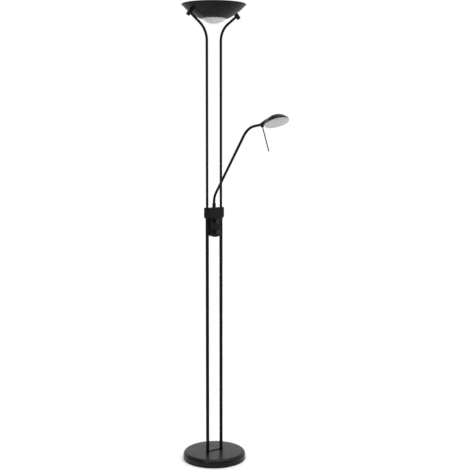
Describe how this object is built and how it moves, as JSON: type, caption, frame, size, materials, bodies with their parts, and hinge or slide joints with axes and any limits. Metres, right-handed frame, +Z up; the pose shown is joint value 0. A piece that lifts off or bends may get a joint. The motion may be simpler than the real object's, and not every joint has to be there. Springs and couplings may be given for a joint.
{
  "type": "torchiere floor lamp",
  "caption": "Floor lamp on a round weighted base: two slim poles carry an upward bowl with an opal glass below, a dimmer housing and a bent side arm with a tilting reading head.",
  "frame": {"origin": "centre of the base pad underside, on the floor", "axes": "+Z up the poles; the two poles stand on the X axis; the reading arm, knobs and housing front face -Y"},
  "size_m": [0.2524, 0.5595, 1.8],
  "materials": {
    "felt_pad": "matt",
    "iron": "rough cast",
    "black_paint": "satin powder coat",
    "black_rubber": "matt",
    "black_paint_gloss": "semi-gloss",
    "zinc_steel": "zinc plated",
    "black_tube": "satin lacquer",
    "black_fitting": "satin lacquer",
    "dark_steel": "blackened",
    "black_plastic": "fine texture",
    "grey_plastic": "plain",
    "brass_shaft": "plain",
    "knob_plastic": "satin",
    "pale_plastic": "translucent",
    "bush_plastic": "self-lubricating",
    "grey_rod": "dark nickel",
    "head_paint": "black satin lacquer",
    "frosted_glass": "frosted, pressed rings",
    "ceramic": "glazed ceramic",
    "clear_glass": "clear",
    "bright_aluminium": "bright",
    "bowl_paint": "satin outside, white inside",
    "opal_glass": "satin opal",
    "white_steel": "white",
    "quartz_glass": "clear quartz"
  },
  "bodies": {
    "stand": {"base_pad": "felt_pad", "base_weight": "iron", "base_cover": "black_paint", "inlet_grommet": "black_rubber", "foot_bridge": "black_paint_gloss", "pole_nipples": "zinc_steel", "base_washers": "zinc_steel", "base_nuts": "zinc_steel", "lower_pole_right": "black_tube", "lower_pole_left": "black_tube", "pole_connectors": "zinc_steel", "upper_pole_right": "black_tube", "upper_pole_left": "black_tube", "barrel_right": "black_fitting", "barrel_left": "black_fitting", "barrel_nipples": "zinc_steel", "barrel_nuts": "zinc_steel", "barrel_grub_screws": "dark_steel", "housing_front_shell": "black_plastic", "housing_rear_shell": "black_plastic", "housing_screws": "dark_steel", "dimmer_modules": "grey_plastic", "dimmer_nuts": "zinc_steel", "terminal_block": "pale_plastic", "terminal_screws": "brass_shaft", "swivel_bush": "bush_plastic", "bowl": "bowl_paint", "opal_glass": "opal_glass", "ring_studs": "zinc_steel", "glass_ring": "white_steel", "ring_nuts": "zinc_steel", "lamp_carrier": "white_steel", "lamp_holders": "ceramic", "holder_screws": "zinc_steel", "halogen_lamp": "quartz_glass", "reflector": "bright_aluminium", "safety_pane": "clear_glass", "pane_clips": "zinc_steel"},
    "arm": {"arm_tube": "black_tube", "arm_collar": "black_fitting", "collar_grub_screw": "dark_steel", "swivel_washer": "zinc_steel", "swivel_nut": "zinc_steel", "arm_eye": "black_fitting"},
    "head": {"head_knuckle": "black_fitting", "tilt_washers": "bush_plastic", "pivot_screw": "dark_steel", "pivot_nut": "dark_steel", "handle_rod": "grey_rod", "head_shell": "head_paint", "neck_screw": "dark_steel", "head_lens": "frosted_glass", "lens_clips": "zinc_steel", "capsule_holder": "ceramic", "capsule_lamp": "clear_glass", "head_reflector": "bright_aluminium"},
    "knob_upper": {"dimmer_shaft_upper": "brass_shaft", "dimmer_knob_upper": "knob_plastic"},
    "knob_lower": {"dimmer_shaft_lower": "brass_shaft", "dimmer_knob_lower": "knob_plastic"}
  },
  "joints": [
    {"name": "arm_swivel", "type": "hinge", "parent": "stand", "child": "arm", "pos_m": [0, 0, 1.017], "axis": [0, 0, 1], "range_deg": [-65, 65]},
    {"name": "head_tilt", "type": "hinge", "parent": "arm", "child": "head", "pos_m": [0, -0.304, 1.33956], "axis": [-1, 0, 0], "range_deg": [-40, 60]},
    {"name": "dimmer_upper", "type": "hinge", "parent": "stand", "child": "knob_upper", "pos_m": [0, -0.013, 0.964], "axis": [0, 1, 0], "range_deg": [0, 280]},
    {"name": "dimmer_lower", "type": "hinge", "parent": "stand", "child": "knob_lower", "pos_m": [0, -0.013, 0.922], "axis": [0, 1, 0], "range_deg": [0, 280]}
  ]
}
